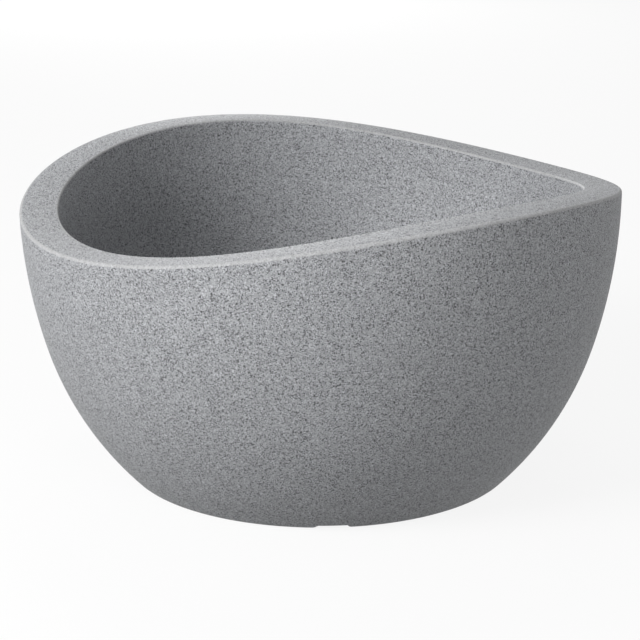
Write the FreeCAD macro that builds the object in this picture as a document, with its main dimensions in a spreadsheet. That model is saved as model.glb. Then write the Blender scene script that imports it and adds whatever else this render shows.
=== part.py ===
import FreeCAD, Part
import math
import os
import Sketcher

# Round bowl planter with a wave rim, and its drain fitting.
# The bowl is turned about the Z axis. Its rim has one width and rises and falls on its way round:
# two crests on the X axis, a low dip at the front (-Y) and a higher dip at the rear (+Y).
# The closed hollow between the bowl's two skins is left solid.
# Origin at the centre of the foot, on the ground. +Z up. Millimetres.

Vector = FreeCAD.Vector

# Driving dimensions, in millimetres or counts
SIZES = {
    # Outer wall: two tangent arcs, upright at the equator
    "bowl_radius": 200,
    "equator_height": 192,
    "upper_wall_radius": 352,
    "lower_wall_radius": 219,
    "arc_joint_height": 92,
    # Wave rim
    "crest_height": 209,
    "rear_dip_height": 186,
    "front_dip_height": 176,
    "rim_width": 25.5,
    "outer_rim_round": 2,
    "inner_rim_round": 1.5,
    "rim_band_drop": 9,
    # Floor and foot
    "drain_floor": 9,
    "floor_corner_height": 10,
    "floor_corner_run": 13,
    "foot_ring_width": 14,
    "foot_edge_chamfer": 2,
    "base_recess": 4,
    "recess_step_run": 3,
    "notch_width": 24,
    "notch_depth": 3,
    "notch_flank_run": 3,
    "notch_count": 3,
    # Drain fitting, stacked up from the ground
    "ground_clearance": 6,
    "bush_standout": 2,
    "nut_thickness": 8,
    "gasket_thickness": 2,
    "flange_thickness": 3,
    "drain_drop": 1.5,
    "bore_radius": 11,
    "bush_wall": 4,
    "bore_lead_in": 1,
    "flange_radius": 23,
    "nut_across_flats": 40,
    "nut_chamfer": 1.2,
    "thread_clearance": 0.1,
    "bush_clearance": 0.2,
    "sump_clearance": 2,
    "sump_slope_run": 4,
    "pocket_clearance": 9,
    "pocket_slope_run": 6,
    # Drain plug and its seal
    "cap_radius": 16,
    "cap_thickness": 3,
    "cap_edge_chamfer": 0.8,
    "stem_length": 20,
    "stem_chamfer": 1,
    "plug_clearance": 0.05,
    "plug_wall": 2,
    "seal_section": 2.4,
    "seal_chamfer": 0.5,
    "seal_clearance": 0.05,
    "seal_depth": 10,
    "groove_play": 0.4,
    "tab_width": 22,
    "tab_height": 15,
    "tab_thickness": 5,
    "tab_edge_chamfer": 1,
    # Vent plug
    "vent_offset": 72,
    "vent_hole_radius": 5,
    "vent_clearance": 0.15,
    "vent_cap_radius": 8,
    "vent_cap_thickness": 1.5,
    "vent_stem_length": 8,
    "vent_tip_taper": 1,
    "vent_hole_play": 1,
}

# Levels and radii that follow from the sizes, as expressions on the sheet
BUSH_END = "sizes.ground_clearance"
NUT_UNDERSIDE = f"({BUSH_END} + sizes.bush_standout)"
POCKET_LEVEL = f"({NUT_UNDERSIDE} + sizes.nut_thickness)"
SUMP_LEVEL = f"({POCKET_LEVEL} + sizes.drain_floor)"
FLANGE_UNDERSIDE = f"({SUMP_LEVEL} + sizes.gasket_thickness)"
FLANGE_TOP = f"({FLANGE_UNDERSIDE} + sizes.flange_thickness)"
FLOOR_LEVEL = f"({FLANGE_TOP} + sizes.drain_drop)"
FLOOR_CORNER_LEVEL = f"({FLOOR_LEVEL} + sizes.floor_corner_height)"
LOWEST_RIM = "min(sizes.crest_height; sizes.rear_dip_height; sizes.front_dip_height)"
BAND_LEVEL = f"({LOWEST_RIM} - sizes.rim_band_drop)"
BUSH_RADIUS = "(sizes.bore_radius + sizes.bush_wall)"
DRAIN_HOLE_RADIUS = f"({BUSH_RADIUS} + sizes.bush_clearance)"
SUMP_RADIUS = "(sizes.flange_radius + sizes.sump_clearance)"
SUMP_MOUTH_RADIUS = f"({SUMP_RADIUS} + sizes.sump_slope_run)"
NUT_BORE_RADIUS = f"({BUSH_RADIUS} + sizes.thread_clearance)"
NUT_CORNER_RADIUS = "(sizes.nut_across_flats / 2 / cos(30 deg))"
POCKET_RADIUS = f"({NUT_CORNER_RADIUS} + sizes.pocket_clearance)"
POCKET_MOUTH_RADIUS = f"({POCKET_RADIUS} + sizes.pocket_slope_run)"
STEM_RADIUS = "(sizes.bore_radius - sizes.plug_clearance)"
STEM_END = f"({FLANGE_TOP} - sizes.stem_length)"
CAP_TOP = f"({FLANGE_TOP} + sizes.cap_thickness)"
SEAL_CENTRE_RADIUS = f"({STEM_RADIUS} - sizes.seal_section / 2)"
SEAL_LEVEL = f"({FLANGE_TOP} - sizes.seal_depth)"
GROOVE_RADIUS = f"({STEM_RADIUS} - sizes.seal_section - sizes.seal_clearance)"
GROOVE_HALF_HEIGHT = "((sizes.seal_section + sizes.groove_play) / 2)"
PLUG_HOLLOW_RADIUS = f"({GROOVE_RADIUS} - sizes.plug_wall)"
VENT_STEM_RADIUS = "(sizes.vent_hole_radius - sizes.vent_clearance)"
VENT_TIP = "(sizes.base_recess + sizes.vent_stem_length)"

# Centre of the lower arc, which meets the upper one, tangent, at the joint height on the outer face
ARC_DIFFERENCE = "(sizes.upper_wall_radius - sizes.lower_wall_radius)"
CENTRE_DROP = (
    f"({ARC_DIFFERENCE} * (sizes.equator_height - sizes.arc_joint_height) / sizes.upper_wall_radius)"
)
UPPER_CENTRE_ACROSS = "(sizes.bowl_radius - sizes.upper_wall_radius)"
LOWER_CENTRE_ACROSS = f"({UPPER_CENTRE_ACROSS} + sqrt({ARC_DIFFERENCE}^2 - {CENTRE_DROP}^2))"
LOWER_CENTRE_LEVEL = f"(sizes.equator_height - {CENTRE_DROP})"
FOOT_RADIUS = f"({LOWER_CENTRE_ACROSS} + sqrt(sizes.lower_wall_radius^2 - {LOWER_CENTRE_LEVEL}^2))"
INNER_ARC = "(sizes.lower_wall_radius - sizes.rim_width)"
CORNER_RISE = f"({FLOOR_CORNER_LEVEL} - {LOWER_CENTRE_LEVEL})"
FLOOR_RADIUS = f"({LOWER_CENTRE_ACROSS} + sqrt({INNER_ARC}^2 - {CORNER_RISE}^2) - sizes.floor_corner_run)"

WAVE_POINTS = 24
WALL_STRIP_COUNT = 2
ROUND_STRIP_COUNT = 3
HEX_SIDES = 6
TOLERANCE = 0.02
START, END, CENTRE = range(1, 4)
ORIGIN = (-1, 1)

doc = FreeCAD.newDocument("bowl_planter")
sizes = doc.addObject("Spreadsheet::Sheet", "sizes")
for row, (alias, number) in enumerate(SIZES.items(), start=1):
    sizes.set(f"A{row}", alias)
    sizes.set(f"B{row}", str(number))
    sizes.setAlias(f"B{row}", alias)
doc.recompute()


def value(expression):
    """Number that an expression on the sheet has now."""
    return float(sizes.evalExpression(expression.replace("sizes.", "")))


# Sketches and features
def make_body(name):
    return doc.addObject("PartDesign::Body", name)


def origin_feature(body, role):
    return next(f for f in body.Origin.OriginFeatures if f.Role == role)


def make_sketch(body, name, plane="XZ_Plane"):
    """Empty sketch on one of the body's own origin planes."""
    sketch = body.newObject("Sketcher::SketchObject", name)
    sketch.AttachmentSupport = [(origin_feature(body, plane), "")]
    sketch.MapMode = "FlatFace"
    return sketch


def bind(sketch, constraint, name, expression):
    """Adds a named constraint and ties it to the sheet."""
    index = sketch.addConstraint(constraint)
    sketch.renameConstraint(index, name)
    sketch.setExpression(f"Constraints.{name}", expression)


def pin(sketch, geometry, end, across=None, up=None):
    """Places a point of the sketch by its distances from the origin."""
    for kind, name, expression in (("DistanceX", "across", across), ("DistanceY", "up", up)):
        if expression is not None:
            distance = Sketcher.Constraint(kind, *ORIGIN, geometry, end, value(expression))
            bind(sketch, distance, f"{name}_{geometry}_{end}", expression)


def join(sketch, first, first_end, second, second_end):
    sketch.addConstraint(Sketcher.Constraint("Coincident", first, first_end, second, second_end))


def line(sketch, start, end):
    """Straight line between two points given as pairs of numbers."""
    return sketch.addGeometry(Part.LineSegment(Vector(*start, 0), Vector(*end, 0)), False)


def arc(sketch, centre, radius, start, end):
    """Arc drawn anticlockwise from start to end, given as pairs of numbers."""
    circle = Part.Circle(Vector(*centre, 0), Vector(0, 0, 1), radius)
    angles = [math.atan2(up - centre[1], across - centre[0]) for across, up in (start, end)]
    return sketch.addGeometry(Part.ArcOfCircle(circle, *angles), False)


def end_point(sketch, geometry, end):
    place = sketch.getPoint(geometry, end)
    return place.x, place.y


def polygon(sketch, corners):
    """Closed outline whose corners are pairs of expressions."""
    places = [(value(across), value(up)) for across, up in corners]
    sides = [line(sketch, a, b) for a, b in zip(places, places[1:] + places[:1])]
    for side, following in zip(sides, sides[1:] + sides[:1]):
        join(sketch, side, END, following, START)
    for side, (across, up) in zip(sides, corners):
        pin(sketch, side, START, across, up)


def chain(sketch, first, first_end, corners, last, last_end):
    """Lines from one piece of the outline, through corners given as expressions, to another."""
    places = [end_point(sketch, first, first_end)]
    places += [(value(across), value(up)) for across, up in corners]
    places.append(end_point(sketch, last, last_end))
    sides = [line(sketch, a, b) for a, b in zip(places, places[1:])]
    join(sketch, first, first_end, sides[0], START)
    for side, following in zip(sides, sides[1:]):
        join(sketch, side, END, following, START)
    for side, (across, up) in zip(sides, corners):
        pin(sketch, side, END, across, up)
    join(sketch, sides[-1], END, last, last_end)


def revolve(body, sketch, name, kind="PartDesign::Revolution"):
    """Full turn of a sketch about its vertical axis."""
    feature = body.newObject(kind, name)
    feature.Profile = sketch
    feature.ReferenceAxis = (sketch, ["V_Axis"])
    feature.Angle = 360
    doc.recompute()
    return feature


def dress(body, kind, name, base, is_wanted, size_name, expression):
    """Fillet or chamfer on the edges of a feature that pass a test."""
    names = [f"Edge{i}" for i, edge in enumerate(base.Shape.Edges, start=1) if is_wanted(edge)]
    feature = body.newObject(kind, name)
    feature.Base = (base, names)
    feature.setExpression(size_name, expression)
    doc.recompute()
    return feature


def is_ring(edge, radius, level):
    """True for a circular edge round the Z axis of that radius and at that level."""
    if not isinstance(edge.Curve, Part.Circle):
        return False
    off_level = abs(edge.Curve.Center.z - value(level))
    return off_level < TOLERANCE and abs(edge.Curve.Radius - value(radius)) < TOLERANCE


# Wall and wave rim of the bowl
def wall(sketch, inset, bottom, top):
    """Two tangent arcs of a wall face, inset from the outer face. Returns (lower arc, upper arc)."""
    radii = [f"sizes.lower_wall_radius - {inset}", f"sizes.upper_wall_radius - {inset}"]
    lower_radius, upper_radius = (value(radius) for radius in radii)
    lower_centre = (value(LOWER_CENTRE_ACROSS), value(LOWER_CENTRE_LEVEL))
    upper_centre = (value(UPPER_CENTRE_ACROSS), value("sizes.equator_height"))
    share = upper_radius / value(ARC_DIFFERENCE)
    joint = [u + (l - u) * share for u, l in zip(upper_centre, lower_centre)]
    foot_rise = value(bottom) - lower_centre[1]
    head_rise = value(top) - upper_centre[1]
    foot = (lower_centre[0] + math.sqrt(lower_radius**2 - foot_rise**2), value(bottom))
    head = (upper_centre[0] + math.sqrt(upper_radius**2 - head_rise**2), value(top))
    lower = arc(sketch, lower_centre, lower_radius, foot, joint)
    upper = arc(sketch, upper_centre, upper_radius, joint, head)
    sketch.addConstraint(Sketcher.Constraint("Tangent", lower, END, upper, START))
    pin(sketch, upper, CENTRE, UPPER_CENTRE_ACROSS, "sizes.equator_height")
    pin(sketch, lower, CENTRE, up=LOWER_CENTRE_LEVEL)
    for each, radius in zip((lower, upper), radii):
        bind(sketch, Sketcher.Constraint("Radius", each, value(radius)), f"radius_{each}", radius)
    pin(sketch, lower, START, up=bottom)
    pin(sketch, upper, END, up=top)
    return lower, upper


def wave_height(angle):
    """Height of the rim at an angle from the X axis."""
    crest = value("sizes.crest_height")
    dips = value("(sizes.rear_dip_height + sizes.front_dip_height) / 2")
    lean = value("(sizes.rear_dip_height - sizes.front_dip_height) / 2")
    return (crest + dips) / 2 + (crest - dips) / 2 * math.cos(2 * angle) + lean * math.sin(angle)


def rim_side(top, wall_radius, edge_round, side):
    """Points (radius, height) up one wall from the foot of the rim band, then round the edge to the top.

    Side is -1 for the outer wall, whose round lies inside the wall arc, and +1 for the inner one.
    """
    centre = (value(UPPER_CENTRE_ACROSS), value("sizes.equator_height"))
    reach = wall_radius + side * edge_round
    lean = math.asin((top - edge_round - centre[1]) / reach)
    start = math.asin((value(BAND_LEVEL) - centre[1]) / wall_radius)
    round_centre = (centre[0] + reach * math.cos(lean), centre[1] + reach * math.sin(lean))
    round_start = lean if side < 0 else lean + math.pi

    def stations(middle, radius, first, last, strips):
        angles = [first + (last - first) * i / strips for i in range(strips + 1)]
        return [(middle[0] + radius * math.cos(a), middle[1] + radius * math.sin(a)) for a in angles]

    up_wall = stations(centre, wall_radius, start, lean, WALL_STRIP_COUNT)
    over_edge = stations(round_centre, edge_round, round_start, math.pi / 2, ROUND_STRIP_COUNT)
    return up_wall + over_edge[1:]


def rim_profile(angle):
    """Section of the rim at an angle: up the outer wall, level across the top, down the inner wall."""
    top = wave_height(angle)
    outer_wall = value("sizes.upper_wall_radius")
    inner_wall = value("sizes.upper_wall_radius - sizes.rim_width")
    outer = rim_side(top, outer_wall, value("sizes.outer_rim_round"), -1)
    inner = rim_side(top, inner_wall, value("sizes.inner_rim_round"), 1)
    return outer + inner[::-1]


def closed_curve(points):
    """Smooth closed curve through points at equal angles."""
    curve = Part.BSplineCurve()
    steps = [i / len(points) for i in range(len(points) + 1)]
    curve.interpolate(Points=points, PeriodicFlag=True, Parameters=steps)
    return curve.toShape()


def rim_band():
    """Top of the bowl: its two walls and edges follow the wave, on a level ring of the same width."""
    angles = [2 * math.pi * i / WAVE_POINTS for i in range(WAVE_POINTS)]
    profiles = [rim_profile(angle) for angle in angles]
    feet = [Part.makeCircle(profiles[0][i][0], Vector(0, 0, value(BAND_LEVEL))) for i in (0, -1)]
    rings = []
    for station in list(zip(*profiles))[1:-1]:
        points = [Vector(r * math.cos(a), r * math.sin(a), z) for a, (r, z) in zip(angles, station)]
        rings.append(closed_curve(points))
    rings = [feet[0]] + rings + [feet[1]]
    faces = [Part.makeRuledSurface(a, b) for a, b in zip(rings, rings[1:])]
    faces.append(Part.makeFace([Part.Wire(foot) for foot in feet], "Part::FaceMakerBullseye"))
    shell = Part.makeShell(faces)
    shell.sewShape()
    solid = Part.makeSolid(shell)
    if solid.Volume < 0:
        solid.reverse()
    band = doc.addObject("Part::Feature", "rim_band")
    band.Shape = solid
    return band


# Bowl: outer form, planting hollow and rim band
def level_bowl():
    """Bowl up to the rim band: outer form turned from one outline, planting hollow turned out of it."""
    body = make_body("level_bowl")
    outline = make_sketch(body, "outer_outline")
    lower, upper = wall(outline, "0", "sizes.foot_edge_chamfer", BAND_LEVEL)
    ring_inner = f"({FOOT_RADIUS} - sizes.foot_ring_width)"
    corners = [
        (f"{FOOT_RADIUS} - sizes.foot_edge_chamfer", "0"),
        (ring_inner, "0"),
        (f"{ring_inner} - sizes.recess_step_run", "sizes.base_recess"),
        (POCKET_MOUTH_RADIUS, "sizes.base_recess"),
        (POCKET_RADIUS, POCKET_LEVEL),
        ("0", POCKET_LEVEL),
        ("0", BAND_LEVEL),
    ]
    chain(outline, lower, START, corners, upper, END)
    revolve(body, outline, "outer_form")

    hollow = make_sketch(body, "hollow_outline")
    lower, upper = wall(hollow, "sizes.rim_width", FLOOR_CORNER_LEVEL, BAND_LEVEL)
    corners = [
        (FLOOR_RADIUS, FLOOR_LEVEL),
        (SUMP_MOUTH_RADIUS, FLOOR_LEVEL),
        (SUMP_RADIUS, SUMP_LEVEL),
        ("0", SUMP_LEVEL),
        ("0", BAND_LEVEL),
    ]
    chain(hollow, lower, START, corners, upper, END)
    revolve(body, hollow, "planting_hollow", "PartDesign::Groove")
    return body


def drain_notches():
    """Shallow channels across the foot ring that let water out from under the bowl."""
    body = make_body("drain_notches")
    section = make_sketch(body, "notch_section")
    half = "sizes.notch_width / 2"
    polygon(
        section,
        [
            (f"-{half}", "0"),
            (half, "0"),
            (f"{half} - sizes.notch_flank_run", "sizes.notch_depth"),
            (f"sizes.notch_flank_run - {half}", "sizes.notch_depth"),
        ],
    )
    channel = body.newObject("PartDesign::Pad", "notch_channel")
    channel.Profile = section
    channel.setExpression("Length", "sizes.bowl_radius")
    channel.Reversed = True
    doc.recompute()
    pattern = body.newObject("PartDesign::PolarPattern", "notch_pattern")
    pattern.Originals = [channel]
    pattern.Axis = (origin_feature(body, "Z_Axis"), [""])
    pattern.Angle = 360
    pattern.setExpression("Occurrences", "sizes.notch_count")
    body.Tip = pattern
    return body


def round_hole(name, radius, top, across_y="0"):
    """Upright cylinder from the ground up, to be taken out of the bowl."""
    hole = doc.addObject("Part::Cylinder", name)
    hole.setExpression("Radius", radius)
    hole.setExpression("Height", top)
    hole.setExpression("Placement.Base.y", across_y)
    return hole


def planter_shell():
    bowl = doc.addObject("Part::MultiFuse", "bowl")
    bowl.Shapes = [level_bowl(), rim_band()]
    removed = doc.addObject("Part::MultiFuse", "removed_from_bowl")
    vent_top = f"{VENT_TIP} + sizes.vent_hole_play"
    removed.Shapes = [
        round_hole("drain_hole", DRAIN_HOLE_RADIUS, FLOOR_LEVEL),
        round_hole("vent_hole", "sizes.vent_hole_radius", vent_top, "-sizes.vent_offset"),
        drain_notches(),
    ]
    shell = doc.addObject("Part::Cut", "planter_shell")
    shell.Base = bowl
    shell.Tool = removed
    return shell


# Drain fitting: bush, gasket and lock nut
def drain_bush():
    """Flanged sleeve that lines the drain hole. Its flange lies just below the planting floor."""
    body = make_body("drain_bush")
    outline = make_sketch(body, "bush_outline")
    polygon(
        outline,
        [
            ("sizes.bore_radius", BUSH_END),
            (BUSH_RADIUS, BUSH_END),
            (BUSH_RADIUS, FLANGE_UNDERSIDE),
            ("sizes.flange_radius", FLANGE_UNDERSIDE),
            ("sizes.flange_radius", FLANGE_TOP),
            ("sizes.bore_radius", FLANGE_TOP),
        ],
    )
    sleeve = revolve(body, outline, "bush_sleeve")

    def is_mouth(edge):
        return is_ring(edge, "sizes.bore_radius", FLANGE_TOP)

    dress(body, "PartDesign::Chamfer", "bore_lead_in", sleeve, is_mouth, "Size", "sizes.bore_lead_in")
    return body


def bush_gasket():
    """Flat rubber washer under the bush's flange."""
    body = make_body("bush_gasket")
    outline = make_sketch(body, "gasket_outline")
    polygon(
        outline,
        [
            (DRAIN_HOLE_RADIUS, SUMP_LEVEL),
            ("sizes.flange_radius", SUMP_LEVEL),
            ("sizes.flange_radius", FLANGE_UNDERSIDE),
            (DRAIN_HOLE_RADIUS, FLANGE_UNDERSIDE),
        ],
    )
    revolve(body, outline, "gasket_ring")
    return body


def bush_lock_nut():
    """Six-sided nut that clamps the bush from under the bowl."""
    body = make_body("bush_lock_nut")
    section = make_sketch(body, "nut_section", "XY_Plane")
    angles = [360 / HEX_SIDES * i for i in range(HEX_SIDES)]
    corner = NUT_CORNER_RADIUS
    polygon(section, [(f"{corner} * cos({angle} deg)", f"{corner} * sin({angle} deg)") for angle in angles])
    block = body.newObject("PartDesign::Pad", "nut_block")
    block.Profile = section
    block.setExpression("Length", "sizes.nut_thickness")
    bore = make_sketch(body, "nut_bore_outline", "XY_Plane")
    circle = bore.addGeometry(Part.Circle(Vector(), Vector(0, 0, 1), value(NUT_BORE_RADIUS)), False)
    join(bore, circle, CENTRE, *ORIGIN)
    bind(bore, Sketcher.Constraint("Radius", circle, value(NUT_BORE_RADIUS)), "bore_radius", NUT_BORE_RADIUS)
    hole = body.newObject("PartDesign::Pocket", "nut_bore")
    hole.Profile = bore
    hole.Type = "ThroughAll"
    hole.Reversed = True
    doc.recompute()

    def is_lower_side(edge):
        is_straight = isinstance(edge.Curve, Part.Line)
        return is_straight and all(abs(v.Point.z) < TOLERANCE for v in edge.Vertexes)

    dress(body, "PartDesign::Chamfer", "nut_chamfer", hole, is_lower_side, "Size", "sizes.nut_chamfer")
    body.setExpression("Placement.Base.z", NUT_UNDERSIDE)
    return body


# Drain plug with its pull tab, and its seal
def drain_plug():
    """Hollow push-in stopper. Its cap rests on the bush, and a tab on the cap pulls it out."""
    body = make_body("drain_plug")
    outline = make_sketch(body, "plug_outline")
    polygon(
        outline,
        [
            (PLUG_HOLLOW_RADIUS, STEM_END),
            (f"{STEM_RADIUS} - sizes.stem_chamfer", STEM_END),
            (STEM_RADIUS, f"{STEM_END} + sizes.stem_chamfer"),
            (STEM_RADIUS, f"{SEAL_LEVEL} - {GROOVE_HALF_HEIGHT}"),
            (GROOVE_RADIUS, f"{SEAL_LEVEL} - {GROOVE_HALF_HEIGHT}"),
            (GROOVE_RADIUS, f"{SEAL_LEVEL} + {GROOVE_HALF_HEIGHT}"),
            (STEM_RADIUS, f"{SEAL_LEVEL} + {GROOVE_HALF_HEIGHT}"),
            (STEM_RADIUS, FLANGE_TOP),
            ("sizes.cap_radius", FLANGE_TOP),
            ("sizes.cap_radius", f"{CAP_TOP} - sizes.cap_edge_chamfer"),
            ("sizes.cap_radius - sizes.cap_edge_chamfer", CAP_TOP),
            ("0", CAP_TOP),
            ("0", FLANGE_TOP),
            (PLUG_HOLLOW_RADIUS, FLANGE_TOP),
        ],
    )
    revolve(body, outline, "plug_stem")

    outline = make_sketch(body, "tab_outline")
    half = "(sizes.tab_width / 2)"
    crown_level = f"({CAP_TOP} + sizes.tab_height - {half})"
    reach, foot, middle = value(half), value(CAP_TOP), value(crown_level)
    base = line(outline, (-reach, foot), (reach, foot))
    right = line(outline, (reach, foot), (reach, middle))
    crown = arc(outline, (0, middle), reach, (reach, middle), (-reach, middle))
    left = line(outline, (-reach, middle), (-reach, foot))
    for side, following in ((base, right), (right, crown), (crown, left), (left, base)):
        join(outline, side, END, following, START)
    pin(outline, base, START, f"-{half}", CAP_TOP)
    pin(outline, right, START, half, CAP_TOP)
    pin(outline, crown, START, half, crown_level)
    pin(outline, crown, END, f"-{half}", crown_level)
    pin(outline, crown, CENTRE, up=crown_level)
    tab = body.newObject("PartDesign::Pad", "pull_tab")
    tab.Profile = outline
    tab.Midplane = True
    tab.setExpression("Length", "sizes.tab_thickness")
    doc.recompute()

    def is_tab_edge(edge):
        offsets = [abs(abs(v.Point.y) - value("sizes.tab_thickness / 2")) for v in edge.Vertexes]
        return edge.CenterOfMass.z > value(CAP_TOP) + TOLERANCE and max(offsets) < TOLERANCE

    dress(body, "PartDesign::Chamfer", "tab_edges", tab, is_tab_edge, "Size", "sizes.tab_edge_chamfer")
    return body


def plug_seal():
    """Rubber ring of square section, its corners taken off, in the plug's groove."""
    body = make_body("plug_seal")
    outline = make_sketch(body, "seal_outline")
    half = "sizes.seal_section / 2"
    flat = f"({half} - sizes.seal_chamfer)"
    steps = [(flat, f"-{half}"), (half, f"-{flat}"), (half, flat), (flat, half)]
    steps += [(f"-{across}", up) for across, up in steps[::-1]]
    polygon(outline, [(f"{SEAL_CENTRE_RADIUS} + {across}", f"{SEAL_LEVEL} + {up}") for across, up in steps])
    revolve(body, outline, "seal_ring")
    return body


def vent_plug():
    """Push-in plug that closes the moulding vent in the base."""
    body = make_body("vent_plug")
    outline = make_sketch(body, "vent_outline")
    cap_level = "sizes.base_recess - sizes.vent_cap_thickness"
    polygon(
        outline,
        [
            ("0", cap_level),
            ("sizes.vent_cap_radius", cap_level),
            ("sizes.vent_cap_radius", "sizes.base_recess"),
            (VENT_STEM_RADIUS, "sizes.base_recess"),
            (VENT_STEM_RADIUS, f"{VENT_TIP} - sizes.vent_tip_taper"),
            (f"{VENT_STEM_RADIUS} - sizes.vent_tip_taper", VENT_TIP),
            ("0", VENT_TIP),
        ],
    )
    revolve(body, outline, "vent_stem")
    body.setExpression("Placement.Base.y", "-sizes.vent_offset")
    return body


def check(pieces):
    """Stops the build if any object failed or a piece has no sound solid."""
    for item in doc.Objects:
        if "Invalid" in item.State or "Error" in item.State:
            raise RuntimeError(f"{item.Label} did not build: {item.State}")
    for piece in pieces:
        if piece.Shape.isNull() or not piece.Shape.isValid() or len(piece.Shape.Solids) != 1:
            raise RuntimeError(f"{piece.Label} is not one sound solid")


pieces = [
    planter_shell(),
    drain_bush(),
    bush_gasket(),
    bush_lock_nut(),
    drain_plug(),
    plug_seal(),
    vent_plug(),
]
doc.recompute()
check(pieces)

os.makedirs("parts", exist_ok=True)
for piece in pieces:
    piece.Shape.exportStep(f"parts/{piece.Label}.step")
    print(f"{piece.Label}: {piece.Shape.Volume / 1000:.2f} cm3")
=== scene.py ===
import math

import bmesh
import bpy
from mathutils import Matrix, Vector


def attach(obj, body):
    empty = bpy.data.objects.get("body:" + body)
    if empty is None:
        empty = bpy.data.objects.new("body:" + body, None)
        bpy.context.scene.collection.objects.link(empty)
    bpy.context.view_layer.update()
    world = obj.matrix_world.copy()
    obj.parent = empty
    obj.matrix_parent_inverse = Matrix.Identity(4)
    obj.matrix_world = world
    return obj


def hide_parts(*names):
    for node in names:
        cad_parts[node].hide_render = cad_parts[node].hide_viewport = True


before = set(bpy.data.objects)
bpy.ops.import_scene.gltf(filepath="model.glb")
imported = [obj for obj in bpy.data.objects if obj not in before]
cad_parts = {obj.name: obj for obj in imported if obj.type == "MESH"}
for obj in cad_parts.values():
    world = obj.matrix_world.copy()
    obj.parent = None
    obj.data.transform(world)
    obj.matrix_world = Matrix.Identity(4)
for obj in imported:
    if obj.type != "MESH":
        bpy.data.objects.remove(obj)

# Bowl planter with a wave rim: a granite-look moulded bowl with a drain plug in its floor.
# Sizes are in millimetres and turned to metres where a vertex is made. Z is up, the front is at -Y.
mm = 0.001
scene = bpy.context.scene
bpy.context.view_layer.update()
print("frame loaded:", ", ".join(sorted(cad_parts)))


# shader sums: a signal is one socket, and sums of signals add their own Math nodes
class Signal:
    def __init__(self, finish, socket):
        self.finish = finish
        self.socket = socket

    def sum(self, operation, first, second):
        return self.finish.node("ShaderNodeMath", {"operation": operation}, {0: first, 1: second})

    # another output of the same node
    def beside(self, output):
        return Signal(self.finish, self.socket.node.outputs[output])

    def __or__(self, other):
        return self.sum("MAXIMUM", self, other)

    def __add__(self, other):
        return self.sum("ADD", self, other)

    def __sub__(self, other):
        return self.sum("SUBTRACT", self, other)

    def __mul__(self, other):
        return self.sum("MULTIPLY", self, other)

    def __truediv__(self, other):
        return self.sum("DIVIDE", self, other)

    def __radd__(self, other):
        return self.sum("ADD", other, self)

    def __rsub__(self, other):
        return self.sum("SUBTRACT", other, self)

    def __rmul__(self, other):
        return self.sum("MULTIPLY", other, self)


# nodes of one material, or of the world
class Finish:
    def __init__(self, owner, shader="Principled BSDF"):
        owner.use_nodes = True
        self.owner = owner
        self.tree = owner.node_tree
        self.shader = self.tree.nodes[shader]
        self.coordinates = None

    # object coordinates, made once
    def place(self):
        self.coordinates = self.coordinates or self.node("ShaderNodeTexCoord", {}, {}, "Object")
        return self.coordinates

    # any node: its type, its settings, then the values or links of its sockets
    def node(self, kind, settings, sockets, output=0):
        made = self.tree.nodes.new(kind)
        for name, value in settings.items():
            if name == "stops":
                while len(made.color_ramp.elements) < len(value):
                    made.color_ramp.elements.new(1.0)
                for stop, (position, level) in zip(made.color_ramp.elements, value):
                    stop.position = position
                    stop.color = (level, level, level, 1)
            else:
                setattr(made, name, value)
        for name, value in sockets.items():
            self.feed(made.inputs[name], value)
        return Signal(self, made.outputs[output])

    def feed(self, socket, value):
        if isinstance(value, Signal):
            self.tree.links.new(value.socket, socket)
        else:
            socket.default_value = value

    def noise(self, size, detail=2.0, rough=0.5):
        sockets = {"Vector": self.place(), "Scale": 1 / (size * mm), "Detail": detail, "Roughness": rough}
        return self.node("ShaderNodeTexNoise", {"noise_dimensions": "3D"}, sockets, "Fac")

    # soft step from 0 to 1 between two levels of a signal
    def step(self, signal, low, high):
        settings = {"interpolation_type": "SMOOTHSTEP"}
        return self.node("ShaderNodeMapRange", settings, {"Value": signal, "From Min": low, "From Max": high})

    def blend(self, share, first, second):
        settings = {"data_type": "RGBA", "blend_type": "MIX"}
        return self.node("ShaderNodeMix", settings, {0: share, 6: first, 7: second}, 2)

    def bump(self, height, depth):
        sockets = {"Height": height, "Strength": 1.0, "Distance": depth * mm}
        return self.node("ShaderNodeBump", {}, sockets, "Normal")

    def set(self, **sockets):
        for name, value in sockets.items():
            self.feed(self.shader.inputs[name.replace("_", " ")], value)


def surface(name):
    return Finish(bpy.data.materials.new(name))


def grey(level, warm=0.0):
    return (level * (1 + warm), level, level * (1 - warm), 1)


graniteLook = {
    "tint": (0.98, 1.0, 1.04, 1),
    "grainSize": 0.54,  # mm, each grain with a grey of its own
    "grainGreys": [(0.0, 0.04), (0.13, 0.08), (0.22, 0.30), (0.70, 0.42), (0.88, 0.54), (1.0, 0.68)],
    "speckGrey": grey(0.03),
    "speckCell": 3.6,  # mm between the dark pinpoints
    "speckRadius": 0.52,
    "speckShare": 0.6,  # of the cells have one
    "speckStrength": 0.85,
    "highlightGrey": grey(0.52),  # painted highlight: paler colour along the rim's two rounded edges
    "highlightStrength": 0.55,
    "cloudSize": 60,
    "cloudShade": [(0.3, 0.94), (0.7, 1.0)],
    "skinSize": 0.9,
    "skinDepth": 0.1,
    "rough": 0.62,
    "gloss": 0.38,
}


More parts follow.
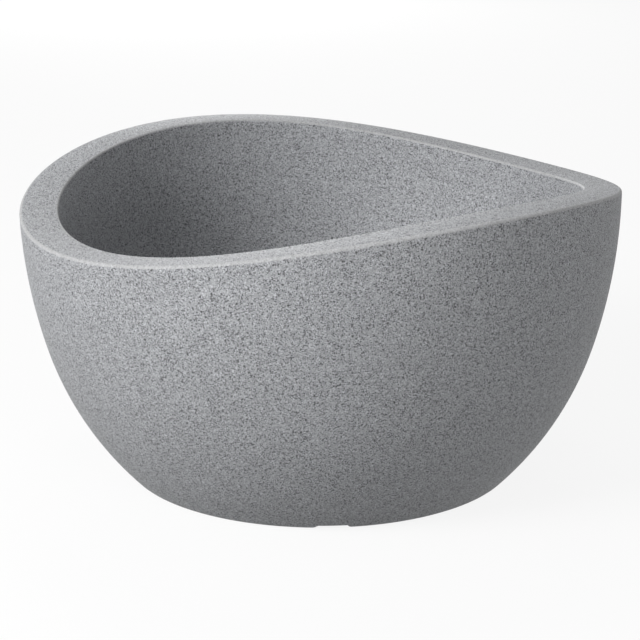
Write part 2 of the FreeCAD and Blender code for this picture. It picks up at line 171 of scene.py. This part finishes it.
def granitePlastic():
    look = graniteLook
    finish = surface("granitePlastic")

    # cells of one size, with three chances of their own in red, green and blue
    def cells(size, seed):
        sockets = {0: finish.place(), 1: (seed, seed, seed)}
        place = finish.node("ShaderNodeVectorMath", {"operation": "ADD"}, sockets)
        sockets = {"Vector": place, "Scale": 1 / (size * mm), "Randomness": 1.0}
        distance = finish.node("ShaderNodeTexVoronoi", {"feature": "F1"}, sockets, "Distance")
        chance = finish.node("ShaderNodeSeparateColor", {}, {"Color": distance.beside("Color")}, "Red")
        return distance, chance

    # pinpoints: a round spot in the middle of some cells
    def spots(size, radius, keep, seed):
        distance, chance = cells(size, seed)
        reach = (chance.beside("Green") * 0.7 + 0.6) * (radius / size)
        spot = finish.step(distance / reach, 1.2, 0.8)
        return spot * finish.step(chance, 0.99 - keep, 1.01 - keep)

    def tinted(greys, colour):
        settings = {"data_type": "RGBA", "blend_type": "MULTIPLY"}
        return finish.node("ShaderNodeMix", settings, {0: 1.0, 6: greys, 7: colour}, 2)

    _, grain = cells(look["grainSize"], 0.2)
    cloud = finish.noise(look["cloudSize"], 3.0)
    specks = spots(look["speckCell"], look["speckRadius"], look["speckShare"], 0.7)
    greys = finish.node("ShaderNodeValToRGB", {"stops": look["grainGreys"]}, {"Fac": grain}, "Color")
    colour = finish.blend(specks * look["speckStrength"], tinted(greys, look["tint"]), look["speckGrey"])
    shade = finish.node("ShaderNodeValToRGB", {"stops": look["cloudShade"]}, {"Fac": cloud}, "Color")
    colour = tinted(colour, shade)
    # painted highlight: the rim's two rounded edges are made paler in the colour itself
    paintedHighlight = finish.node("ShaderNodeAttribute", {"attribute_name": "edgeRub"}, {}, "Fac")
    colour = finish.blend(paintedHighlight * look["highlightStrength"], colour, look["highlightGrey"])

    skin = finish.noise(look["skinSize"], 2.0, 0.55)
    rough = look["rough"] + (grain - 0.5) * 0.1 + (cloud - 0.5) * 0.1
    relief = skin * 0.8 - specks * 0.3
    finish.set(Base_Color=colour, Roughness=rough, Specular_IOR_Level=look["gloss"])
    finish.set(Normal=finish.bump(relief, look["skinDepth"]))
    return finish.owner


fittingLook = {
    "ground": grey(0.05, -0.01),
    "pale": grey(0.085, -0.01),
    "cloudSize": 9,
    "scuffSize": 2.2,
    "skinSize": 0.35,
    "skinDepth": 0.03,
    "rough": 0.46,
}


def fittingPlastic():
    look = fittingLook
    finish = surface("fittingPlastic")
    cloud = finish.noise(look["cloudSize"], 3.0)
    skin = finish.noise(look["skinSize"], 2.0)
    scuff = finish.step(finish.noise(look["scuffSize"], 4.0, 0.7), 0.56, 0.72)
    colour = finish.blend(cloud * 0.6 + scuff * 0.25, look["ground"], look["pale"])
    rough = look["rough"] + (cloud - 0.5) * 0.15 + scuff * 0.1
    finish.set(Base_Color=colour, Roughness=rough, Normal=finish.bump(skin, look["skinDepth"]))
    return finish.owner


rubberLook = {
    "ground": grey(0.018),
    "dusty": grey(0.045, 0.01),
    "dustSize": 3,
    "skinSize": 0.25,
    "skinDepth": 0.02,
    "rough": 0.72,
}


def sealRubber():
    look = rubberLook
    finish = surface("sealRubber")
    dust = finish.step(finish.noise(look["dustSize"], 4.0, 0.65), 0.45, 0.75)
    skin = finish.noise(look["skinSize"], 2.0)
    colour = finish.blend(dust, look["ground"], look["dusty"])
    rough = look["rough"] + dust * 0.15
    finish.set(Base_Color=colour, Roughness=rough, Normal=finish.bump(skin, look["skinDepth"]))
    return finish.owner


granite = granitePlastic()
fitting = fittingPlastic()
rubber = sealRubber()
print("materials ready")


# outlines stand in the XZ plane, X away from the axis, and are spun round Z
def corner(bm, across, up):
    return bm.verts.new((across * mm, 0, up * mm))


def joined(bm, verts):
    for first, second in zip(verts, verts[1:]):
        bm.edges.new((first, second))


# arc drawn by turning one vertex about a centre, anticlockwise as seen with Z up
def sweep(bm, vert, centre, degrees, steps):
    made = bmesh.ops.spin(
        bm,
        geom=[vert],
        cent=(centre[0] * mm, 0, centre[1] * mm),
        axis=(0, -1, 0),
        angle=math.radians(degrees),
        steps=steps,
    )
    return next(item for item in made["geom_last"] if isinstance(item, bmesh.types.BMVert))


def eased(bm, vert, size, segments=4):
    bmesh.ops.bevel(
        bm,
        geom=[vert],
        offset=size * mm,
        offset_type="OFFSET",
        segments=segments,
        profile=0.5,
        affect="VERTICES",
        material=-1,
    )


# an eighth of a turn is spun, then doubled up to the full turn
def spun(bm, steps):
    turn = 2 * math.pi
    bmesh.ops.spin(
        bm,
        geom=bm.verts[:] + bm.edges[:],
        cent=(0, 0, 0),
        axis=(0, 0, 1),
        angle=turn / 8,
        steps=steps // 8,
    )
    for share in (8, 4, 2):
        made = bmesh.ops.duplicate(bm, geom=bm.verts[:] + bm.edges[:] + bm.faces[:])
        verts = [item for item in made["geom"] if isinstance(item, bmesh.types.BMVert)]
        bmesh.ops.rotate(bm, verts=verts, cent=(0, 0, 0), matrix=Matrix.Rotation(turn / share, 3, "Z"))
    bmesh.ops.remove_doubles(bm, verts=bm.verts[:], dist=0.002 * mm)


# closed or open outline of (across, up, edge round) corners, spun to a turned piece
def turned(corners, steps, closed=True):
    bm = bmesh.new()
    verts = [corner(bm, across, up) for across, up, _ in corners]
    joined(bm, verts + verts[:1] if closed else verts)
    for vert, (_, _, size) in zip(verts, corners):
        if size:
            eased(bm, vert, size)
    spun(bm, steps)
    return bm


def placed(name, bm, node, body, material, crease=38):
    bmesh.ops.recalc_face_normals(bm, faces=bm.faces[:])
    for face in bm.faces:
        face.smooth = True
    mesh = bpy.data.meshes.new(name)
    bm.to_mesh(mesh)
    bm.free()
    mesh.set_sharp_from_angle(angle=math.radians(crease))
    mesh.materials.append(material)
    piece = bpy.data.objects.new(name, mesh)
    scene.collection.objects.link(piece)
    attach(piece, body)
    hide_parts(node)
    print(f"{name}: {len(mesh.polygons)} faces")
    return piece


shell = {
    "bowlRadius": 200,
    "equator": 192,
    "upperRadius": 352,
    "lowerRadius": 219,
    "arcJoint": 92,
    "crest": 209,
    "rearDip": 186,
    "frontDip": 176,
    "rimWidth": 25.5,
    "outerRound": 2,
    "innerRound": 1.5,
    "floor": 31.5,
    "floorRound": 30,
    "footRing": 14,
    "footRound": 2.4,
    "recess": 4,
    "recessRun": 3,
    "pocketLevel": 16,
    "pocketRadius": 32.1,
    "pocketRun": 6,
    "sumpLevel": 25,
    "sumpRadius": 25,
    "sumpRun": 4,
    "drainHole": 15.2,
    "notchWidth": 24,
    "notchDepth": 3,
    "notchRun": 3,
    "notchAngles": (-30, 90, 210),
    "holeRound": 0.6,
    "pocketRound": 2,
    "recessRound": 1.5,
    "ringRound": 1.2,
    "sumpRound": 1.2,
    "sumpMouthRound": 2,
    "waveFoot": 100,  # below this the bowl is plain round
    "lowerSteps": 24,
    "upperSteps": 32,
    "rimSteps": 8,
    "innerLowerSteps": 14,
    "cornerSteps": 12,
    "turns": 384,
}


def planterShell():
    s = shell
    upperCentre = (s["bowlRadius"] - s["upperRadius"], s["equator"])
    difference = s["upperRadius"] - s["lowerRadius"]
    drop = difference * (s["equator"] - s["arcJoint"]) / s["upperRadius"]
    lowerCentre = (upperCentre[0] + math.sqrt(difference**2 - drop**2), s["equator"] - drop)
    jointLean = -math.degrees(math.asin(drop / difference))
    dips = (s["rearDip"] + s["frontDip"]) / 2
    mean = (s["crest"] + dips) / 2
    swing = (s["crest"] - dips) / 2
    tilt = (s["rearDip"] - s["frontDip"]) / 2

    def wave(angle):
        return swing * math.cos(2 * angle) + tilt * math.sin(angle)

    def wallRadius(level, inset):
        joint = s["equator"] - drop * (s["upperRadius"] - inset) / difference
        centre, radius = upperCentre, s["upperRadius"]
        if level <= joint:
            centre, radius = lowerCentre, s["lowerRadius"]
        return centre[0] + math.sqrt((radius - inset) ** 2 - (level - centre[1]) ** 2)

    def lean(rise, reach):
        return math.degrees(math.asin(rise / reach))

    # base, outer wall, rim, inner wall, floor and sump, in one closed outline
    bm = bmesh.new()
    footRadius = wallRadius(0, 0)
    ringInner = footRadius - s["footRing"]
    base = [
        (s["drainHole"], s["pocketLevel"], s["holeRound"]),
        (s["pocketRadius"], s["pocketLevel"], s["pocketRound"]),
        (s["pocketRadius"] + s["pocketRun"], s["recess"], s["pocketRound"]),
        (ringInner - s["recessRun"], s["recess"], s["recessRound"]),
        (ringInner, 0, s["ringRound"]),
        (footRadius, 0, s["footRound"]),
    ]
    baseVerts = [corner(bm, across, up) for across, up, _ in base]
    joined(bm, baseVerts)
    footLean = lean(-lowerCentre[1], s["lowerRadius"])
    head = sweep(bm, baseVerts[-1], lowerCentre, jointLean - footLean, s["lowerSteps"])
    outerReach = s["upperRadius"] - s["outerRound"]
    outerLean = lean(mean - s["outerRound"] - s["equator"], outerReach)
    head = sweep(bm, head, upperCentre, outerLean - jointLean, s["upperSteps"])
    outerAcross = upperCentre[0] + outerReach * math.cos(math.radians(outerLean))
    outerCentre = (outerAcross, mean - s["outerRound"])
    head = sweep(bm, head, outerCentre, 90 - outerLean, s["rimSteps"])

    innerWall = s["upperRadius"] - s["rimWidth"]
    innerReach = innerWall + s["innerRound"]
    innerLean = lean(mean - s["innerRound"] - s["equator"], innerReach)
    innerAcross = upperCentre[0] + innerReach * math.cos(math.radians(innerLean))
    innerCentre = (innerAcross, mean - s["innerRound"])
    land = corner(bm, innerCentre[0], mean)
    joined(bm, [head, land])
    head = sweep(bm, land, innerCentre, 90 + innerLean, s["rimSteps"])
    head = sweep(bm, head, upperCentre, jointLean - innerLean, s["upperSteps"])
    cornerReach = s["lowerRadius"] - s["rimWidth"] - s["floorRound"]
    cornerUp = s["floor"] + s["floorRound"]
    cornerLean = lean(cornerUp - lowerCentre[1], cornerReach)
    cornerAcross = lowerCentre[0] + cornerReach * math.cos(math.radians(cornerLean))
    head = sweep(bm, head, lowerCentre, cornerLean - jointLean, s["innerLowerSteps"])
    head = sweep(bm, head, (cornerAcross, cornerUp), -90 - cornerLean, s["cornerSteps"])
    sump = [
        (s["sumpRadius"] + s["sumpRun"], s["floor"], s["sumpMouthRound"]),
        (s["sumpRadius"], s["sumpLevel"], s["sumpRound"]),
        (s["drainHole"], s["sumpLevel"], s["holeRound"]),
    ]
    sumpVerts = [corner(bm, across, up) for across, up, _ in sump]
    joined(bm, [head] + sumpVerts + baseVerts[:1])
    for vert, (_, _, size) in zip(baseVerts + sumpVerts, base + sump):
        eased(bm, vert, size)
    spun(bm, s["turns"])

    # three shallow channels across the foot ring
    half = s["notchWidth"] / 2 * mm
    run = s["notchRun"] * mm
    depth = s["notchDepth"] * mm

    # low faces beside one channel, out at the foot ring
    def nearNotch(along, across):
        low = [(face, face.verts[0].co) for face in bm.faces if face.verts[0].co.z < 4 * depth]
        beside = [(face, place) for face, place in low if abs(place.dot(across)) < 1.6 * half]
        return [face for face, place in beside if place.dot(along) > (ringInner - 12) * mm]

    for degrees in s["notchAngles"]:
        angle = math.radians(degrees)
        along = Vector((math.cos(angle), math.sin(angle), 0))
        across = Vector((-math.sin(angle), math.cos(angle), 0))
        cuts = [(across * offset, across) for offset in (-half, run - half, half - run, half)]
        cuts.append((Vector((0, 0, depth)), Vector((0, 0, 1))))
        for point, normal in cuts:
            faces = nearNotch(along, across)
            edges = {edge for face in faces for edge in face.edges}
            verts = {vert for face in faces for vert in face.verts}
            geom = faces + list(edges) + list(verts)
            bmesh.ops.bisect_plane(bm, geom=geom, dist=0.001 * mm, plane_co=point, plane_no=normal)
        for vert in {vert for face in nearNotch(along, across) for vert in face.verts}:
            share = (half - abs(vert.co.dot(across))) / run
            vert.co.z = max(vert.co.z, depth * min(max(share, 0), 1))

    # the wave: the rim moves as a whole, the walls slide along their own arcs
    paintedHighlight = bm.verts.layers.float.new("edgeRub")  # 1 on the rim's two rounded edges, where a highlight is painted into the colour
    for vert in bm.verts:
        level = vert.co.z / mm
        if level <= s["waveFoot"]:
            continue
        reach = math.hypot(vert.co.x, vert.co.y) / mm
        onOuter = reach > outerCentre[0] + 0.01 and level > outerCentre[1] + 0.01
        onInner = reach < innerCentre[0] - 0.01 and level > innerCentre[1] + 0.01
        vert[paintedHighlight] = 1.0 if onOuter or onInner else 0.0
        angle = math.atan2(vert.co.y, vert.co.x)
        under = min(level, mean - s["outerRound"])
        share = (under - s["waveFoot"]) / (mean - s["outerRound"] - s["waveFoot"])
        rise = wave(angle) * share * share * (3 - 2 * share)
        middle = wallRadius(under, s["rimWidth"] / 2)
        inset = 0 if reach > middle else s["rimWidth"]
        shift = wallRadius(under + rise, inset) - wallRadius(under, inset)
        vert.co.x *= 1 + shift / reach
        vert.co.y *= 1 + shift / reach
        vert.co.z += rise * mm
    return placed("planterShell", bm, "planter_shell", "planter", granite, 32)


bush = {
    "bore": 11,
    "outside": 15,
    "flange": 23,
    "end": 6,
    "seat": 27,
    "top": 30,
    "threadTop": 22,
    "pitch": 2,
    "threadDepth": 0.8,
    "turns": 160,
}


def drainBush():
    b = bush
    corners = [(b["bore"], b["end"], 0.4), (b["outside"] - b["threadDepth"], b["end"], 0.3)]
    turns = round((b["threadTop"] - b["end"]) / b["pitch"])
    for turn in range(turns):
        root = b["end"] + b["pitch"] * turn
        crestUp = root + b["pitch"] / 2
        corners.append((b["outside"], crestUp, 0.2))
        corners.append((b["outside"] - b["threadDepth"], root + b["pitch"], 0.2))
    corners += [
        (b["outside"], b["threadTop"] + 1, 0.2),
        (b["outside"], b["seat"], 0),
        (b["flange"], b["seat"], 0.3),
        (b["flange"], b["top"], 1.2),
        (b["bore"], b["top"], 0.9),
    ]
    bm = turned(corners, b["turns"])
    return placed("drainBush", bm, "drain_bush", "planter", fitting)


gasket = {"inside": 15.2, "outside": 23, "seat": 25, "top": 27, "turns": 128}


def bushGasket():
    g = gasket
    corners = [
        (g["inside"], g["seat"], 0),
        (g["outside"], g["seat"], 0.5),
        (g["outside"], g["top"], 0.5),
        (g["inside"], g["top"], 0),
    ]
    bm = turned(corners, g["turns"])
    return placed("bushGasket", bm, "bush_gasket", "planter", rubber)


nut = {
    "bore": 15.1,
    "acrossFlats": 40,
    "underside": 8,
    "top": 16,
    "chamfer": 1.4,
    "edgeInset": 0.6,
    "topChamfer": 0.5,
    "roundFace": 2.5,  # this far in from the flats it stays round
    "cornerCut": 0.75,  # share of the corners that the chamfer takes away
    "perSide": 20,
}


def bushLockNut():
    n = nut
    flat = n["acrossFlats"] / 2
    corners = [
        (n["bore"], n["underside"], 0.5),
        (flat - n["roundFace"], n["underside"], 0),
        (flat - n["edgeInset"], n["underside"], 0.5),
        (flat, n["underside"] + n["chamfer"], 0.6),
        (flat, n["top"] - n["topChamfer"], 0),
        (flat - n["topChamfer"], n["top"], 0),
        (n["bore"], n["top"], 0.5),
    ]
    bm = turned(corners, 6 * n["perSide"])
    # the round blank is drawn out to six sides, less at its chamfered lower edge
    for vert in bm.verts:
        reach = math.hypot(vert.co.x, vert.co.y) / mm
        angle = math.degrees(math.atan2(vert.co.y, vert.co.x)) % 60 - 30
        if reach > flat - n["roundFace"] + 0.5:
            factor = 1 / math.cos(math.radians(angle))
            slack = max(n["underside"] + n["chamfer"] - vert.co.z / mm, 0) / n["chamfer"]
            factor = 1 + (factor - 1) * (1 - n["cornerCut"] * slack)
            vert.co.x *= factor
            vert.co.y *= factor
    return placed("bushLockNut", bm, "bush_lock_nut", "planter", fitting)


plug = {
    "stem": 10.95,
    "hollow": 6.5,
    "end": 10,
    "capUnder": 30,
    "capTop": 33,
    "cap": 16,
    "grooveRadius": 8.5,
    "grooveLow": 18.6,
    "grooveHigh": 21.4,
    "tabWidth": 22,
    "tabThick": 5,
    "tabTop": 48,
    "tabRound": 1.1,
    "tabSunk": 0.6,  # into the cap
    "tabClear": 1.5,
    "tabSteps": 32,
    "panelInset": 2.2,
    "panelSlope": 0.5,
    "panelDepth": 0.5,
    "turns": 128,
}


def drainPlug():
    p = plug
    corners = [
        (0, p["capUnder"], 0),
        (p["hollow"], p["capUnder"], 0.5),
        (p["hollow"], p["end"], 0.5),
        (p["stem"], p["end"], 0.9),
        (p["stem"], p["grooveLow"], 0.25),
        (p["grooveRadius"], p["grooveLow"], 0.25),
        (p["grooveRadius"], p["grooveHigh"], 0.25),
        (p["stem"], p["grooveHigh"], 0.25),
        (p["stem"], p["capUnder"], 0.2),
        (p["cap"], p["capUnder"], 0.4),
        (p["cap"], p["capTop"], 1.0),
        (p["tabWidth"] / 2 + p["tabClear"], p["capTop"], 0),
        (0, p["capTop"], 0),
    ]
    bm = turned(corners, p["turns"], closed=False)

    # pull tab: a half-round plate that stands on the cap, with a shallow panel on each face
    radius = p["tabWidth"] / 2
    middle = p["tabTop"] - radius
    sunk = p["capTop"] - p["tabSunk"]
    tab = bmesh.new()
    foot = corner(tab, radius, sunk)
    shoulder = corner(tab, radius, middle)
    joined(tab, [foot, shoulder])
    far = sweep(tab, shoulder, (0, middle), 180, p["tabSteps"])
    last = corner(tab, -radius, sunk)
    joined(tab, [far, last, foot])
    face = bmesh.ops.contextual_create(tab, geom=tab.edges[:])["faces"][0]
    bmesh.ops.translate(tab, verts=tab.verts[:], vec=(0, -p["tabThick"] / 2 * mm, 0))
    made = bmesh.ops.extrude_face_region(tab, geom=[face], use_keep_orig=True)
    lifted = [item for item in made["geom"] if isinstance(item, bmesh.types.BMVert)]
    bmesh.ops.translate(tab, verts=lifted, vec=(0, p["tabThick"] * mm, 0))
    bmesh.ops.recalc_face_normals(tab, faces=tab.faces[:])
    sides = [face for face in tab.faces if abs(face.normal.y) > 0.9]
    rims = {edge for face in sides for edge in face.edges}
    bmesh.ops.bevel(
        tab,
        geom=[edge for edge in rims if max(vert.co.z for vert in edge.verts) > p["capTop"] * mm],
        offset=p["tabRound"] * mm,
        offset_type="OFFSET",
        segments=4,
        profile=0.5,
        affect="EDGES",
        material=-1,
    )
    large = [face for face in tab.faces if face.calc_area() > (10 * mm) ** 2]
    for side in [face for face in large if abs(face.normal.y) > 0.9]:
        bmesh.ops.inset_region(tab, faces=[side], thickness=p["panelInset"] * mm)
        slope, depth = p["panelSlope"] * mm, p["panelDepth"] * mm
        bmesh.ops.inset_region(tab, faces=[side], thickness=slope, depth=-depth)
    tabMesh = bpy.data.meshes.new("pullTab")
    tab.to_mesh(tabMesh)
    tab.free()
    bm.from_mesh(tabMesh)
    bpy.data.meshes.remove(tabMesh)
    return placed("drainPlug", bm, "drain_plug", "plug", fitting)


seal = {"inside": 8.55, "outside": 10.95, "low": 18.8, "high": 21.2, "round": 0.9, "turns": 128}


def plugSeal():
    r = seal
    corners = [
        (r["inside"], r["low"], r["round"]),
        (r["outside"], r["low"], r["round"]),
        (r["outside"], r["high"], r["round"]),
        (r["inside"], r["high"], r["round"]),
    ]
    bm = turned(corners, r["turns"])
    return placed("plugSeal", bm, "plug_seal", "plug", rubber)


vent = {
    "cap": 8,
    "stem": 4.85,
    "low": 2.5,
    "seat": 4,
    "tip": 12,
    "taper": 1,
    "ringInside": 3.6,  # raised ring on the cap
    "ringCrest": 4.4,
    "ringOutside": 4.96,
    "ringHeight": 0.35,
    "offset": -72,
    "turns": 96,
}


def ventPlug():
    v = vent
    corners = [
        (0, v["low"], 0),
        (v["ringInside"], v["low"], 0),
        (v["ringCrest"], v["low"] - v["ringHeight"], 0.3),
        (v["ringOutside"], v["low"], 0),
        (v["cap"], v["low"], 0.6),
        (v["cap"], v["seat"], 0.2),
        (v["stem"], v["seat"], 0.2),
        (v["stem"], v["tip"] - v["taper"], 0.3),
        (v["stem"] - v["taper"], v["tip"], 0.3),
        (0, v["tip"], 0),
    ]
    bm = turned(corners, v["turns"], closed=False)
    bmesh.ops.translate(bm, verts=bm.verts[:], vec=(0, v["offset"] * mm, 0))
    return placed("ventPlug", bm, "vent_plug", "planter", fitting)


for build in (planterShell, drainBush, bushGasket, bushLockNut, drainPlug, plugSeal, ventPlug):
    build()
print("pieces built")


# stage: pale floor and white surround, six soft lamps with the strongest at the left front
stage = {
    "floorHalf": 6.0,
    "floorRough": 0.9,
    "floorColour": (0.95, 0.95, 0.95, 1),
    "floorBounce": (0.15, 0.15, 0.15, 1),  # what the floor gives back to the bowl
    "whiteShare": 0.88,  # of the floor as the camera sees it
    "darkInside": (0.106, 0.112),  # metres from the middle: under the bowl the floor keeps its shade
    "ambient": 0.185,
    "lampAim": 0.13,  # metres above the floor
    "cameraTurn": 56.59,
    "cameraTilt": 16.07,
    "cameraReach": 1.279,
    "cameraHeight": 0.468,
    "lens": 109.6,
    "sensor": 36,
}


# 1 where the camera sees the floor or the surround, straight or in a gloss
def seenDirectly(finish):
    direct = finish.node("ShaderNodeLightPath", {}, {}, "Is Camera Ray")
    return direct | direct.beside("Is Glossy Ray") | direct.beside("Is Transmission Ray")


def floor():
    bm = bmesh.new()
    bmesh.ops.create_grid(bm, x_segments=1, y_segments=1, size=stage["floorHalf"])
    mesh = bpy.data.meshes.new("floor")
    bm.to_mesh(mesh)
    bm.free()
    piece = bpy.data.objects.new("floor", mesh)
    scene.collection.objects.link(piece)
    finish = surface("paleFloor")
    seen = seenDirectly(finish)
    colour = finish.blend(seen, stage["floorBounce"], stage["floorColour"])
    finish.set(Base_Color=colour, Roughness=stage["floorRough"])
    lit = Signal(finish, finish.shader.outputs["BSDF"])
    white = finish.node("ShaderNodeEmission", {}, {"Strength": 1.0})
    reach = finish.node("ShaderNodeVectorMath", {"operation": "LENGTH"}, {0: finish.place()}, "Value")
    share = seen * finish.step(reach, *stage["darkInside"]) * stage["whiteShare"]
    both = finish.node("ShaderNodeMixShader", {}, {0: share, 1: lit, 2: white})
    finish.feed(finish.tree.nodes["Material Output"].inputs["Surface"], both)
    mesh.materials.append(finish.owner)


def surround():
    finish = Finish(bpy.data.worlds.new("softWhite"), "Background")
    sockets = {"Value": seenDirectly(finish), "To Min": stage["ambient"], "To Max": 1.0}
    finish.set(Color=(1, 1, 1, 1), Strength=finish.node("ShaderNodeMapRange", {}, sockets))
    scene.world = finish.owner


# left, towards the camera and up, in metres from the bowl's middle
lamps = {
    "key": {"left": 1.42, "near": 1.19, "up": 1.12, "size": 0.8, "watts": 33.2},
    "side": {"left": 1.8, "near": 0.7, "up": 1.0, "size": 0.8, "watts": 9.3},
    "back": {"left": 0, "near": -1.05, "up": 1.95, "size": 0.8, "watts": 5.2},
    "front": {"left": 0, "near": 1.4, "up": 1.6, "size": 0.8, "watts": 1.8},
    "low": {"left": -1.0, "near": 1.7, "up": 0.3, "size": 0.5, "watts": 8.2},
    "rear": {"left": 0.3, "near": -2.9, "up": 0.7, "size": 0.8, "watts": 14},
}


def light(name, lamp):
    turn = math.radians(stage["cameraTurn"])
    near = Vector((math.sin(turn), -math.cos(turn), 0))
    left = Vector((-math.cos(turn), -math.sin(turn), 0))
    aim = Vector((0, 0, stage["lampAim"]))
    data = bpy.data.lights.new(name, "AREA")
    data.shape = "SQUARE"
    data.size = lamp["size"]
    data.energy = lamp["watts"]
    piece = bpy.data.objects.new(name, data)
    piece.visible_camera = False
    piece.location = left * lamp["left"] + near * lamp["near"] + Vector((0, 0, lamp["up"]))
    piece.rotation_euler = (aim - piece.location).to_track_quat("-Z", "Y").to_euler()
    scene.collection.objects.link(piece)


def camera():
    turn = math.radians(stage["cameraTurn"])
    data = bpy.data.cameras.new("photoView")
    data.sensor_width = stage["sensor"]
    data.lens = stage["lens"]
    piece = bpy.data.objects.new("photoView", data)
    reach = stage["cameraReach"]
    piece.location = (reach * math.sin(turn), -reach * math.cos(turn), stage["cameraHeight"])
    piece.rotation_euler = (math.radians(90 - stage["cameraTilt"]), 0, turn)
    scene.collection.objects.link(piece)
    scene.camera = piece


floor()
surround()
for name, lamp in lamps.items():
    light(name, lamp)
camera()
scene.view_settings.view_transform = "Standard"
print("stage and lamps ready")
